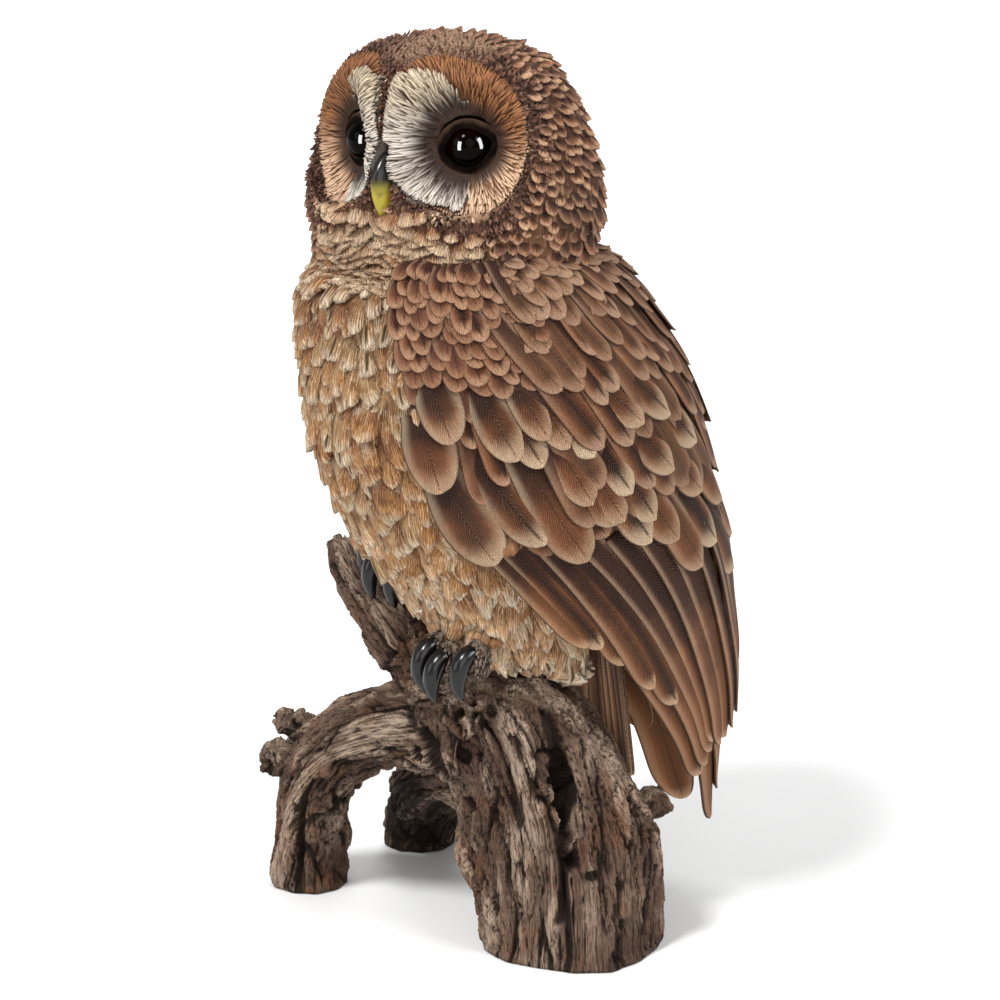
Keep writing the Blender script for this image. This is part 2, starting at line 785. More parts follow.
def filled_in(table, count):
    """The rows of a table with others set evenly between them."""
    rows = np.array(table, float)
    place = np.linspace(0, len(rows) - 1, count)
    return np.stack([np.interp(place, np.arange(len(rows)), column) for column in rows.T], 1).tolist()


def dress_wing(side, name):
    """All the feathers of one folded wing: its flights first, then what lies over them."""
    seed = WING_SEED[name]
    kinds = [
        ("flight", INNERMOST + filled_in(PRIMARIES, 12) + filled_in(SECONDARIES, 5), flight_form),
        ("under", feather_rows(seed, **UNDER_ROWS), small_form),
        ("greater", FRONT_COVERTS, covert_form),
        ("middle", MIDDLE_COVERTS, covert_form),
        ("shoulder", feather_rows(seed + 10, **SHOULDER_ROWS), small_form),
        ("back", feather_rows(seed + 20, **BACK_ROWS), small_form),
    ]
    made = []
    for kind, table, form in kinds:
        rows = np.array(table, float)
        if side < 0:
            rows[:, [1, 3]] += FAR_LEAD * ease(rows[:, [3]], 75, 45)
            rows = rows[(rows[:, 2] < 280) | (rows[:, 3] > FAR_SHOULDER)]
        lines = wrap_lines(rows, side)
        form = Form(**{**vars(form), "roll": form.roll * side})
        piece = feathers(f"wing_{name}_{kind}", wing_wrap, lines, rows[:, 4], form, seed, lift=rows[:, 5])
        made.append(piece)
    return made


# ---------------------------------------------------------------- tail
TAIL_FEATHERS = 7
TAIL_WIDTH = 15.0
tail_form = Form(
    columns=11, rows=18, tip_rows=6, roundness=0.6, root_width=0.8, root_lift=0.0, tip_lift=0.6, camber=0.8,
    thickness=2.2, edge=0.5, roll=0.9, patch=0.03,
)


def dress_tail():
    """The tail's feathers, the middle one uppermost."""
    sideways = np.linspace(-1, 1, TAIL_FEATHERS)[:, None]
    share = np.linspace(0, 1, 20)
    x = sideways * TAIL["spread"] * (0.7 + 0.3 * share)
    drop = 5 * sideways**2 * share
    z = TAIL["root_z"] + (TAIL["tip_z"] - TAIL["root_z"]) * share + drop
    lines, _ = tail_fan.onto(np.stack([x, 0 * x, z + 0 * x], -1))
    lift = 1.2 * (1 - np.abs(sideways[:, 0]))
    widths = np.full(TAIL_FEATHERS, TAIL_WIDTH)
    return feathers("tail_feathers", tail_fan, lines, widths, tail_form, 21, lift=lift)


# ---------------------------------------------------------------- body feathers
OPEN = math.inf
# Where the toes come out of the belly feathers: corners of two boxes.
LEFT_TOES = [4, -OPEN, -OPEN], [OPEN, -26, 149]
RIGHT_TOES = [-OPEN, -60, -OPEN], [-6, -26, 172]


def lies_down(points, out):
    """The way the body's feathers lie: down, and a little back at the flanks."""
    back = np.array([0, 0.25, 0]) * ease(points[:, 2], 260, 160)[:, None]
    return laid(DOWN + back, out)


def in_wing(points, within):
    """Where the folded wings cover the body, by more than so many degrees."""
    z = points[:, 2]
    lead = np.interp(z, *WING_EDGE.T)
    far = points[:, 0] < 0
    lead = np.where(far & (z > 276), FAR_SHOULDER, lead + FAR_LEAD * far)
    return (np.abs(wrap_angle(points)) > lead + within) & (z > 120) & (z < 304)


def dress_body(name, low, high, spacing_at, slimness, form, seed):
    """Tufts over the part of the body between two heights; the lowest hang in a ragged edge."""
    points = skin_hide.points
    z = points[:, 2]
    body = (z < high) & (z > low) & ~in_wing(points, np.where(z > 225, 8, 4))
    candidates = points[body & ~in_box(points, *LEFT_TOES) & ~in_box(points, *RIGHT_TOES)]
    roots, sizes, out, rng = planted(skin_hide, candidates, spacing_at(candidates[:, 2]), seed)
    lies = swayed(lies_down(roots, out), out, rng, 0.25)
    hanging = ease(roots[:, 2], 156, 134)
    lengths = sizes * slimness * rng.uniform(0.8, 1.25, len(roots))
    spines = grow(skin_hide, roots, lies, lengths, 8, rng.uniform(-0.4, 0.4, len(roots)))
    widths = sizes * rng.uniform(1.6, 2.6, len(roots)) * (1 - 0.45 * hanging)
    along = spines.reshape(-1, 3)
    covered = in_wing(along, np.where(along[:, 2] > 225, 10, 4)).reshape(len(roots), -1)
    clear = ~covered[:, 2:].any(axis=1)
    loft = rng.uniform(0.3, 1.25, len(roots)) * (1 + 1.2 * hanging)
    lift = rng.uniform(-0.3, 0.6, len(roots))
    spines, widths, loft, lift = (part[clear] for part in (spines, widths, loft, lift))
    return feathers(name, skin_hide, spines, widths, form, seed + 2, loft=loft, lift=lift)


breast_form = Form(
    columns=11, rows=5, tip_rows=4, roundness=0.8, root_width=0.55, root_lift=-1.4, tip_lift=2.5, curl=0.4,
    camber=2.3, thickness=1.8, roll=0.6, furrow=0.2, furrow_pitch=2.6, slanted=False, waver=0.4, rag=1.0,
)
belly_form = Form(
    columns=7, rows=5, tip_rows=4, roundness=2.0, root_width=0.6, root_lift=-1.4, tip_lift=1.5, curl=0.4,
    camber=1.4, thickness=1.8, roll=0.6, furrow=0.25, furrow_pitch=2.4, slanted=False, waver=0.5, rag=1.6,
)


# ---------------------------------------------------------------- head feathers
# Parts of the head, as corners of boxes in the head's own frame.
CHIN = [-38, -OPEN, -OPEN], [38, -22, 334]
UNDER_BILL = [-25, -OPEN, -OPEN], [25, -22, 334]
BESIDE_BILL = [-6, -OPEN, 327], [6, -30, 351]
ON_BILL = [-4.6, -OPEN, 322], [4.6, OPEN, 350]
FOREHEAD = [-10, -OPEN, 362], [10, -24, OPEN]
BROW = [-2.6, -OPEN, 351], [2.6, -24, OPEN]


def face_share(points):
    """How near the edge of the pale face a point is: 1 on the edge, and large behind the face."""
    best = np.full(len(points), 9.0)
    local = bird_to_head(points)
    for side, _ in SIDES:
        _, _, share, _ = disc_place(points, side)
        front_half = (local[:, 1] < 4) & (local[:, 0] * side > -3)
        best = np.where(front_half, np.minimum(best, share), best)
    return best


def is_forehead(points):
    """The fuzzy strip that runs up between the facial discs."""
    local = bird_to_head(points)
    return in_box(local, *BROW) | in_box(local, *FOREHEAD)


def lies_from_face(points, out):
    """Over the head feathers lie away from the face and downwards."""
    local = bird_to_head(points)
    away = np.stack([local[:, 0] * 1.2, local[:, 1] + 34, 0 * local[:, 2]], -1)
    away = unit(turned(away, HEAD_TURN)) * ease(local[:, 2], 330, 392)[:, None] * 1.1
    return laid(away + DOWN * (0.25 + ease(392 - local[:, 2], 0, 40))[:, None], out)


def away_from_eye(roots, out):
    """The direction from the nearer eye, along the skin."""
    best = np.full(len(roots), 1e9)
    lies = np.zeros_like(roots)
    for side, _ in SIDES:
        offset = roots - head_to_bird(eye_place(side))
        gap = np.linalg.norm(offset, axis=1)
        lies = np.where((gap < best)[:, None], offset, lies)
        best = np.minimum(best, gap)
    return laid(lies, out)


crown_form = Form(
    columns=9, rows=3, tip_rows=4, roundness=0.55, root_width=0.75, root_lift=-1.6, tip_lift=1.1, camber=1.3,
    thickness=1.5, roll=0.5, rag=0.2,
)
rim_form = Form(
    columns=3, rows=3, tip_rows=3, roundness=1.4, root_width=0.8, root_lift=-0.2, tip_lift=0.9, curl=0.5,
    camber=0.5, thickness=0.9, roll=0.2,
)
chin_form = Form(
    columns=21, rows=3, tip_rows=4, roundness=0.16, root_width=0.9, root_lift=-1.4, tip_lift=2.1, curl=0.8,
    camber=1.6, thickness=1.8, roll=0.5, furrow=0.3, furrow_pitch=2.0, slanted=False, waver=0.35, rag=0.9,
)
strand_form = Form(
    columns=3, rows=4, tip_rows=3, roundness=2.6, root_width=0.75, root_lift=-0.5, tip_lift=1.0, curl=0.2,
    camber=0.5, thickness=0.9, roll=0.1,
)
fuzz_form = Form(
    columns=3, rows=3, tip_rows=3, roundness=1.4, root_lift=-0.4, tip_lift=1.0, curl=0.5, camber=0.5,
    thickness=0.8,
)


def dress_toes(pads):
    """Short grey fuzz on the toes."""
    hide = hide_of(pads)
    roots, _, out, rng = planted(hide, hide.points[hide.normals[:, 1] > -0.75], 1.5, 57)
    lies = laid(unit(DOWN + np.array([0, -0.8, 0]) + rng.uniform(-0.6, 0.6, roots.shape)), out)
    spines = grow(hide, roots, lies, rng.uniform(2.5, 4.5, len(roots)), 4)
    return feathers("toe_fuzz", hide, spines, rng.uniform(1.0, 1.6, len(roots)), fuzz_form, 59)


def dress_crown():
    """Raised scales over the head and down the neck behind the face."""
    points = skin_hide.points
    share = face_share(points)
    chin = in_box(bird_to_head(points), *CHIN)
    head = (points[:, 2] > 303) & (share > 1.15) & ~is_forehead(points) & ~chin
    spacing = 3.2 + 1.5 * ease(share[head], 1.2, 2.0)
    roots, sizes, out, rng = planted(skin_hide, points[head], spacing, 41)
    lies = swayed(lies_from_face(roots, out), out, rng, 0.25)
    spines = grow(skin_hide, roots, lies, sizes * rng.uniform(1.6, 2.1, len(roots)), 5)
    widths = sizes * rng.uniform(1.5, 2.1, len(roots))
    loft = rng.uniform(0.6, 1.3, len(roots))
    return feathers("crown_feathers", skin_hide, spines, widths, crown_form, 43, loft=loft)


def dress_rim():
    """The dark fuzz round the facial discs and up the forehead."""
    points = skin_hide.points
    local = bird_to_head(points)
    share = face_share(points)
    width = 0.26 - 0.1 * ease(points[:, 2], 372, 386)
    band = (share > 0.94) & (share < 1 + width) & ((points[:, 2] > 315) | ~in_box(local, *CHIN))
    band = band & ~(in_box(local, *UNDER_BILL) & (share > 1.03))
    band = (band | (is_forehead(points) & (share > 0.9))) & ~in_box(local, *BESIDE_BILL)
    roots, _, out, rng = planted(skin_hide, points[band & (points[:, 2] > 312)], 1.4, 51)
    lies = swayed(away_from_eye(roots, out), out, rng, 0.7)
    lengths = rng.uniform(2.8, 4.8, len(roots))
    spines = grow(skin_hide, roots, lies, lengths, 4, rng.uniform(-1, 1, len(roots)))
    loft = rng.uniform(0.5, 1.4, len(roots))
    widths = rng.uniform(1.1, 1.8, len(roots))
    return feathers("disc_rim_feathers", skin_hide, spines, widths, rim_form, 53, loft=loft)


def dress_chin():
    """Swags of wide, short ribbed feathers under the facial discs, parted by a furrow below the bill."""
    points = skin_hide.points
    local = bird_to_head(points)
    chin = in_box(local, *CHIN) & (points[:, 2] > 300) & (face_share(points) > 1.05)
    roots, _, out, rng = planted(skin_hide, points[chin & ~in_box(local, *BESIDE_BILL)], 4.1, 61)
    lies = laid(unit(0.7 * away_from_eye(roots, out) + DOWN), out)
    lengths = rng.uniform(6, 8, len(roots))
    spines = grow(skin_hide, roots, lies, lengths, 5, rng.uniform(-0.7, 0.7, len(roots)))
    widths = rng.uniform(14, 24, len(roots)) * (0.35 + 0.65 * ease(face_share(roots), 1.08, 1.4))
    return feathers("chin_feathers", skin_hide, spines, widths, chin_form, 63)


# ---------------------------------------------------------------- the pale face
STRAND_PITCH = 1.02
STRAND_RINGS = np.arange(7.6, 38, 2.3)


def zones(turn, reach, share):
    """Markings of the pale face: how cream, how much in the pale fan, and how dark near the eye."""
    cream = ease(turn, 25, -45) * (turn > -110) + 0.5 * ease(share, 0.8, 1.0) * ease(turn, 60, 0)
    fan = ease(fan_edge(turn)[0] - reach, -0.6, 0.6)
    dark = ease(reach, 20 + 4 * fan, 13 + 1.5 * fan)
    return np.stack([np.clip(cream, 0, 1), fan, dark], -1)


def strand_places(rng):
    """Where the strands of one disc start: rings of them round the eye, as their turns and reaches."""
    turns, reaches = [], []
    for reach in STRAND_RINGS:
        steps = int(2 * math.pi * reach / STRAND_PITCH)
        slip = rng.uniform(-0.4, 0.4, steps) / reach
        turns.append(np.degrees(np.arange(steps) * 2 * math.pi / steps + slip) - 180)
        reaches.append(reach + rng.uniform(-1.1, 1.1, steps))
    turn, reach = np.concatenate(turns), np.concatenate(reaches)
    across, up = reach * np.cos(np.radians(turn)), reach * np.sin(np.radians(turn))
    kept = (reach < face_edge(turn)[0] * 0.93) & (np.hypot(across, up + EYE_DROP) > LID_RADIUS - 0.3)
    return turn[kept], reach[kept]


def dress_disc(side, name):
    """Fine strands that ray out from one eye over its disc, the fan beside the bill laid over the rest."""
    rng = np.random.default_rng(70 + side)
    outward, gaze = disc_axes(side)
    eye = eye_place(side)
    turn, reach = strand_places(rng)
    edge, fan = face_edge(turn)[0], fan_edge(turn)[0]
    in_fan = fan > reach + 1
    edge = np.where(in_fan, np.minimum(edge, fan + 1.2), edge)
    lengths = rng.uniform(7.5, 10.5, len(turn)) * (1 + 0.35 * in_fan)
    lengths = np.minimum(lengths, np.maximum(edge - reach, 2.5))
    place = eye + np.outer(reach * np.cos(np.radians(turn)), outward) + gaze * 40
    place[:, 2] += reach * np.sin(np.radians(turn))
    roots = skin_hide.seen_along(head_to_bird(place), tuple(turned(-gaze, HEAD_TURN)))
    _, out = skin_hide.onto(roots)
    lies = swayed(laid(unit(roots - head_to_bird(eye)), out), out, rng, 0.1)
    spines = grow(skin_hide, roots, lies, lengths, 5, rng.uniform(-0.4, 0.4, len(roots)))
    ends = spines[:, -1]
    kept = (disc_place(ends, side)[2] < 1.04) & ~in_box(bird_to_head(ends), *ON_BILL)
    spines, turn, reach, lengths, in_fan = (part[kept] for part in (spines, turn, reach, lengths, in_fan))
    lift = 0.9 * in_fan * ease(reach, 12, 22) + rng.uniform(-0.15, 0.25, len(turn))
    widths = rng.uniform(1.1, 1.6, len(turn))
    piece = feathers(f"face_strands_{name}", skin_hide, spines, widths, strand_form, 80 + side, lift=lift)
    reach = reach + 0.3 * lengths
    own = zones(turn, reach, reach / face_edge(turn)[0])
    own[:, 1] = in_fan
    marks = np.repeat(own, len(piece.data.vertices) // len(turn), 0)
    marks[:, 2] = zones(*disc_place(coordinates(piece.data), side)[:3])[:, 2]
    add_attribute(piece.data, "mark", marks)
    return piece


def mark_skin():
    """The same markings on the skin under the strands, and where the pale face is."""
    points = coordinates(skin.data)
    aside = bird_to_head(points)[:, 0]
    face = np.zeros(len(points))
    marks = np.zeros((len(points), 3))
    for side, _ in SIDES:
        turn, reach, share, front = disc_place(points, side)
        own = (aside * side > 0) & (front > -12) & (share < 1.02)
        marks = np.where(own[:, None], zones(turn, reach, share), marks)
        own = own & ((np.abs(aside) > 2.5) | (points[:, 2] < 320))
        face = np.where(own, ease(share, 1.02, 0.96), face)
    add_attribute(skin.data, "mark", marks)
    add_attribute(skin.data, "face", np.stack([face, face, face], -1))


# ---------------------------------------------------------------- paint: sums on sockets
def paint(code):
    """A colour written as red, green and blue pairs, as the shader takes it."""
    parts = [int(code[i : i + 2], 16) / 255 for i in (0, 2, 4)]
    return tuple(p / 12.92 if p <= 0.04045 else ((p + 0.055) / 1.055) ** 2.4 for p in parts) + (1.0,)


class Flow:
    """A number that flows through a finish; sums on it add their nodes."""

    def __init__(self, finish, socket):
        self.finish = finish
        self.socket = socket

    def sum(self, operation, *others):
        """One step of arithmetic on this number and the others."""
        inputs = dict(enumerate((self, *others)))
        return self.finish.node("ShaderNodeMath", {"operation": operation}, inputs)["Value"]

    def __add__(self, other):
        return self.sum("ADD", other)

    def __sub__(self, other):
        return self.sum("SUBTRACT", other)

    def __rsub__(self, other):
        return (self * -1) + other

    def __mul__(self, other):
        return self.sum("MULTIPLY", other)

    __radd__ = __add__
    __rmul__ = __mul__

    def size(self):
        return self.sum("ABSOLUTE")

    def wave(self):
        return self.sum("SINE")

    def power(self, exponent):
        return self.sum("POWER", exponent)

    def rise(self, low, high):
        """0 below low, 1 above high, and smooth between; with low the larger it falls instead."""
        falls = low > high
        ends = {"From Min": min(low, high), "From Max": max(low, high)}
        results = {"To Min": 1.0 if falls else 0.0, "To Max": 0.0 if falls else 1.0}
        inputs = {"Value": self, **ends, **results}
        return self.finish.node("ShaderNodeMapRange", {"interpolation_type": "SMOOTHSTEP"}, inputs)["Result"]


class Finish:
    """A painted finish: its material, its nodes and its shader."""

    def __init__(self, name, **constants):
        self.material = bpy.data.materials.new(name)
        self.material.use_nodes = True
        self.tree = self.material.node_tree
        self.shader = self.tree.nodes["Principled BSDF"]
        for key, value in constants.items():
            self.shader.inputs[key.replace("_", " ").title().replace("Ior", "IOR")].default_value = value

    def node(self, kind, settings=None, inputs=None):
        """Adds a node; what it gives is found by name."""
        made = self.tree.nodes.new(kind)
        for key, value in (settings or {}).items():
            setattr(made, key, value)
        for key, value in (inputs or {}).items():
            self.put(made.inputs[key], value)
        return {out.name: Flow(self, out) for out in reversed(made.outputs)}

    def put(self, socket, value):
        """Links a flow to a socket, or sets it to a constant or to a colour's code."""
        if isinstance(value, Flow):
            self.tree.links.new(value.socket, socket)
        else:
            socket.default_value = paint(value) if isinstance(value, str) else value

    def feed(self, name, value):
        self.put(self.shader.inputs[name], value)

    def attribute(self, name):
        """A vector kept for each point of the mesh."""
        return self.node("ShaderNodeAttribute", {"attribute_name": name})["Vector"]

    def parts(self, vector):
        split = self.node("ShaderNodeSeparateXYZ", None, {"Vector": vector})
        return split["X"], split["Y"], split["Z"]

    def vane(self):
        """Shares of the way across a feather, -1 to 1, and along it, 0 to 1, and the feather's own tint."""
        return self.parts(self.attribute("vane"))

    def span(self):
        """Millimetres from the shaft, from the root and from the tip."""
        return self.parts(self.attribute("span"))

    def object_place(self):
        return self.node("ShaderNodeTexCoord")["Object"]

    def height(self):
        """Metres above the floor."""
        return self.parts(self.object_place())[2]

    def grain(self, wide, long):
        """Streaks that run along each feather, so many to the millimetre across it and along it."""
        reach, from_root, _ = self.span()
        parts = {"X": reach * wide, "Y": from_root * long, "Z": self.vane()[2] * 40}
        place = self.node("ShaderNodeCombineXYZ", None, parts)["Vector"]
        return self.blotches(place, 1.0, 3.0, 0.6)

    def blotches(self, place, scale, detail=3.0, rough=0.55, stretch=None):
        """Cloudy noise, 0 to 1 and mostly near a half, so many to the metre."""
        if stretch:
            place = self.node("ShaderNodeMapping", None, {"Vector": place, "Scale": stretch})["Vector"]
        inputs = {"Vector": place, "Scale": scale, "Detail": detail, "Roughness": rough}
        return self.node("ShaderNodeTexNoise", None, inputs)["Fac"]

    def blend(self, share, a, b):
        """From one colour to another as the share goes from 0 to 1."""
        mixed = self.tree.nodes.new("ShaderNodeMix")
        mixed.data_type = "RGBA"
        for socket, value in ((0, share), (6, a), (7, b)):
            self.put(mixed.inputs[socket], value)
        return Flow(self, mixed.outputs[2])

    def bump(self, height, strength, distance):
        inputs = {"Height": height, "Strength": strength, "Distance": distance}
        self.feed("Normal", self.node("ShaderNodeBump", None, inputs)["Normal"])


CROWN_PATCH = np.array([18, -38, 397])  # the paler patch on the crown
BARB_PITCH = 2.0
HAIR_PITCH = 0.95


def barbs(finish):
    """Grooves that leave the shaft sideways and lean towards the tip: 0 in a groove and 1 on a barb."""
    _, along, tint = finish.vane()
    reach, from_root, _ = finish.span()
    slant = along * along * 0.8 + 1.2
    uneven = finish.blotches(finish.object_place(), 420.0)
    phase = (from_root - reach.size().power(1.2) * slant) * (2 * math.pi / BARB_PITCH)
    return (phase + tint * 40 + uneven * 9).wave() * 0.5 + 0.5


def brown_feather(
    name, root, middle, tip, core, streaks=0.5, edge="321d13", ribbed=0.3, fringe_length=5.0, top=None
):
    """Wing and crown feathers: smoky at the root and along the shaft, paler at the tip, with fine barbs.

    Streaks is the share of feathers with a dark shaft, and top the colour of the patch on the crown."""
    finish = Finish(name, roughness=0.6, specular_ior_level=0.12)
    across, along, tint = finish.vane()
    reach, _, left = finish.span()
    place = finish.object_place()
    ribs = barbs(finish)
    ribbing = (along.rise(0.3, 0.85) * 0.7 + 0.3) * ribbed
    cloud = finish.blotches(place, 55.0)
    fine = finish.grain(1.3, 0.3)
    belly = (along + (cloud - 0.5) * 0.6).rise(0.25, 0.85)
    colour = finish.blend(belly, root, middle)
    colour = finish.blend(belly * (tint + (cloud - 0.5) * 1.2).rise(0.4, 0.8) * 0.65, colour, "96572f")
    heart = across.size().rise(0.85, 0.1) * left.rise(1.0, 3.0 + 0.7 * fringe_length) * (tint * 0.5 + 0.5)
    colour = finish.blend(heart, colour, core)
    colour = finish.blend(across.size().rise(0.45, 0.9) * 0.3, colour, tip)
    fringe = across.size() * (0.35 * fringe_length) - left + (fine - 0.5) * 5.0 + (tint - 0.5) * 2.5
    fringe = fringe.rise(-fringe_length, 0.1 * fringe_length) * (tint * 0.5 + 0.45)
    colour = finish.blend(fringe, colour, tip)
    streak = reach.size().rise(1.0, 0.3) * along.rise(0.3, 0.5) * left.rise(2.5, 5.0)
    streak = streak * tint.rise(1 - streaks, 1.1 - streaks)
    colour = finish.blend(streak * 0.6, colour, "24140f")
    if top:
        ends = {0: place, 1: at(CROWN_PATCH)}
        away = finish.node("ShaderNodeVectorMath", {"operation": "DISTANCE"}, ends)["Value"]
        patch = (away + (cloud - 0.5) * 0.03).rise(0.027, 0.010)
        colour = finish.blend(patch * (fine * 0.4 + 0.6), colour, top)
    colour = finish.blend((1 - ribs) * ribbing, colour, edge)
    colour = finish.blend(ribs.rise(0.55, 1.0) * ribbing * 0.3, colour, tip)
    shaft = reach.size().rise(0.5, 0.2) * left.rise(1.0, 3.0)
    colour = finish.blend(shaft * 0.5, colour, edge)
    colour = finish.blend(across.size().rise(0.88, 1.0) * left.rise(0.3, 4.0) * 0.85, colour, edge)
    finish.feed("Base Color", colour)
    finish.bump(ribs * (ribbing * 2.5 + 0.5) + fine * 0.6, 1.0, 0.0007)
    return finish.material


def breast_paint(name, streaks, deep, middle, light, grey):
    """Soft body feathers: fanned hair lines, tips worn pale, some tufts greyer, some with a dark shaft."""
    finish = Finish(name, roughness=0.65, specular_ior_level=0.15)
    across, along, tint = finish.vane()
    reach, _, left = finish.span()
    place = finish.object_place()
    strands = finish.grain(1.3, 0.1)
    cloud = finish.blotches(place, 34.0)
    rough = finish.blotches(place, 120.0, 4.0, 0.65)
    lines = reach * (along * -0.5 + 1.3) * (2 * math.pi / HAIR_PITCH)
    lines = (lines + strands * 14 + tint * 40).wave() * 0.5 + 0.5
    colour = finish.blend((along + (cloud - 0.5) * 0.9).rise(0.15, 0.8), deep, middle)
    colour = finish.blend((cloud * 0.5 + tint * 0.5).rise(0.45, 0.62) * 0.8, colour, grey)
    under_chin = (finish.height() + (cloud - 0.5) * 0.03).rise(0.26, 0.30)
    colour = finish.blend(under_chin * 0.5, colour, deep)
    colour = finish.blend(rough.rise(0.52, 0.62) * 0.7, colour, deep)
    colour = finish.blend(rough.rise(0.46, 0.36) * 0.35, colour, light)
    pale = ((strands - 0.5) * 8 + (tint - 0.5) * 4 - left).rise(-6.0, 0.5)
    colour = finish.blend(pale * 0.75, colour, light)
    colour = finish.blend(lines.rise(0.45, 0.0) * 0.3, colour, "5a3820")
    colour = finish.blend(lines.rise(0.6, 1.0) * 0.25, colour, light)
    colour = finish.blend(strands.rise(0.46, 0.34) * 0.5, colour, "50321d")
    streak = reach.size().rise(0.9, 0.3) * along.rise(0.3, 0.5) * left.rise(1.0, 3.5)
    streak = streak * tint.rise(1 - streaks, 1.03 - streaks)
    colour = finish.blend(streak * 0.85, colour, "2c1b14")
    colour = finish.blend(across.size().rise(0.65, 1.0) * left.rise(0.5, 5.0) * 0.65, colour, "402415")
    finish.feed("Base Color", colour)
    finish.bump(lines + strands + rough * 0.5, 1.0, 0.001)
    return finish.material


def face_colour(finish, shade):
    """Rufous over the eye, cream below it and the pale fan, as the marks say; the shade varies it."""
    cream, fan, dark = finish.parts(finish.attribute("mark"))
    rufous = finish.blend(shade, "5a341d", "9c683f")
    warm = finish.blend(cream, rufous, finish.blend(shade, "8f6346", "e8c4a2"))
    grey = finish.blend(shade, "4a4037", "ded4c7")
    buff = finish.blend(shade, "4a3a28", "cdb997")
    pale = finish.blend(finish.height().rise(0.358, 0.380) * 0.75, grey, buff)
    colour = finish.blend(fan, warm, pale)
    return finish.blend(dark * 0.95, colour, "1e130e")


def disc_paint():
    """The strands of the face: darker between them and at their roots."""
    finish = Finish("disc_strands", roughness=0.6, specular_ior_level=0.25)
    across, along, tint = finish.vane()
    colour = face_colour(finish, (along * 0.7 + tint * 0.5 - 0.1).rise(0.0, 1.0))
    colour = finish.blend(along.rise(0.35, 0.0) * 0.5, colour, "38241a")
    colour = finish.blend(across.size().rise(0.1, 0.9) * 0.7, colour, "38241a")
    finish.feed("Base Color", colour)
    return finish.material


def skin_paint():
    """What shows between the feathers; under the face strands it carries their markings."""
    finish = Finish("skin_brown", roughness=0.8, specular_ior_level=0.2)
    place = finish.object_place()
    cloud = finish.blotches(place, 60.0)
    fibre = finish.blotches(place, 420.0, 4.0, 0.65, (1.0, 1.0, 0.16))
    fine = finish.blotches(place, 500.0)
    colour = finish.blend((finish.height() + (cloud - 0.5) * 0.02).rise(0.30, 0.33), "80593a", "4a3023")
    colour = finish.blend(cloud.rise(0.5, 0.8) * 0.4, colour, "2a1a12")
    colour = finish.blend(fibre.rise(0.5, 0.36) * 0.8, colour, "2e1c12")
    colour = finish.blend(fibre.rise(0.54, 0.66) * 0.5, colour, "b08a64")
    face = finish.parts(finish.attribute("face"))[0]
    colour = finish.blend(face, colour, finish.blend(0.45, face_colour(finish, fine), "3a2418"))
    finish.feed("Base Color", colour)
    finish.bump(fine * 0.3 + fibre, 1.0, 0.001)
    return finish.material


wing_finish = brown_feather(
    "wing_brown", root="492d22", middle="8f5f45", tip="c0987a", core="38201a", ribbed=0.18
)
covert_finish = brown_feather(
    "covert_brown", root="3e241a", middle="a4633d", tip="f4d8b4", core="1b0c08", fringe_length=12.0
)
scapular_finish = brown_feather(
    "shoulder_brown", root="462f26", middle="916446", tip="c8a488", core="37231c", streaks=0.35, ribbed=0.2,
    fringe_length=8.0,
)
flight_finish = brown_feather(
    "flight_brown",
    root="462a1e",
    middle="a86d45",
    tip="eac6a2",
    core="26130e",
    ribbed=0.22,
    fringe_length=9.0,
)
tail_finish = brown_feather(
    "tail_brown", root="7c563c", middle="c69672", tip="ecc8a4", core="56362a", streaks=1.0, ribbed=0.22,
    fringe_length=8.0,
)
crown_finish = brown_feather(
    "crown_brown", root="39231d", middle="805845", tip="d0a888", core="33221c", streaks=0.05, ribbed=0.12,
    fringe_length=2.4, top="a07c66",
)
rim_finish = brown_feather(
    "disc_rim_brown", root="2c1c18", middle="573d34", tip="7c5f52", core="30201b", streaks=0.0, edge="24150f",
    ribbed=0.05, fringe_length=1.5, top="a08069",
)
toe_finish = brown_feather(
    "toe_grey", root="362c26", middle="574a40", tip="8a7c6e", core="2a221c", streaks=0.0, ribbed=0.05,
    fringe_length=1.5,
)
breast_finish = breast_paint(
    "breast_ochre", streaks=0.2, deep="784320", middle="c0874f", light="f4dfc2", grey="c09868"
)
belly_finish = breast_paint(
    "belly_ochre", streaks=0.15, deep="9c683c", middle="e4b280", light="faecd6", grey="e2c6a0"
)
chin_finish = breast_paint(
    "chin_ochre", streaks=0.0, deep="8a5532", middle="d0986a", light="f2d6b4", grey="d2a880"
)
disc_finish = disc_paint()


# ---------------------------------------------------------------- assembly of the bird
mark_skin()
set_down(skin, *SKIN_NODES, slot="breast_feathers", finish=skin_paint())

flights = {}
COVERT_FINISHES = {"back": scapular_finish, "greater": covert_finish, "middle": covert_finish}
for side, name in SIDES:
    flights[name], *coverts = dress_wing(side, name)
    set_down(flights[name], f"wing_{name}_flight", slot="wing_feathers", finish=flight_finish)
    for piece in coverts:
        own_finish = COVERT_FINISHES.get(piece.name.split("_")[-1], wing_finish)
        set_down(piece, slot="wing_feathers", finish=own_finish)
    set_down(dress_disc(side, name), slot="face_feathers", finish=disc_finish)
tail = dress_tail()
set_down(tail, "tail", slot="wing_feathers", finish=tail_finish)


def breast_spacing(z):
    return 4.2 + 1.5 * ease(z, 305, 250)


def belly_spacing(z):
    return 4.6 - 1.1 * ease(z, 170, 138)


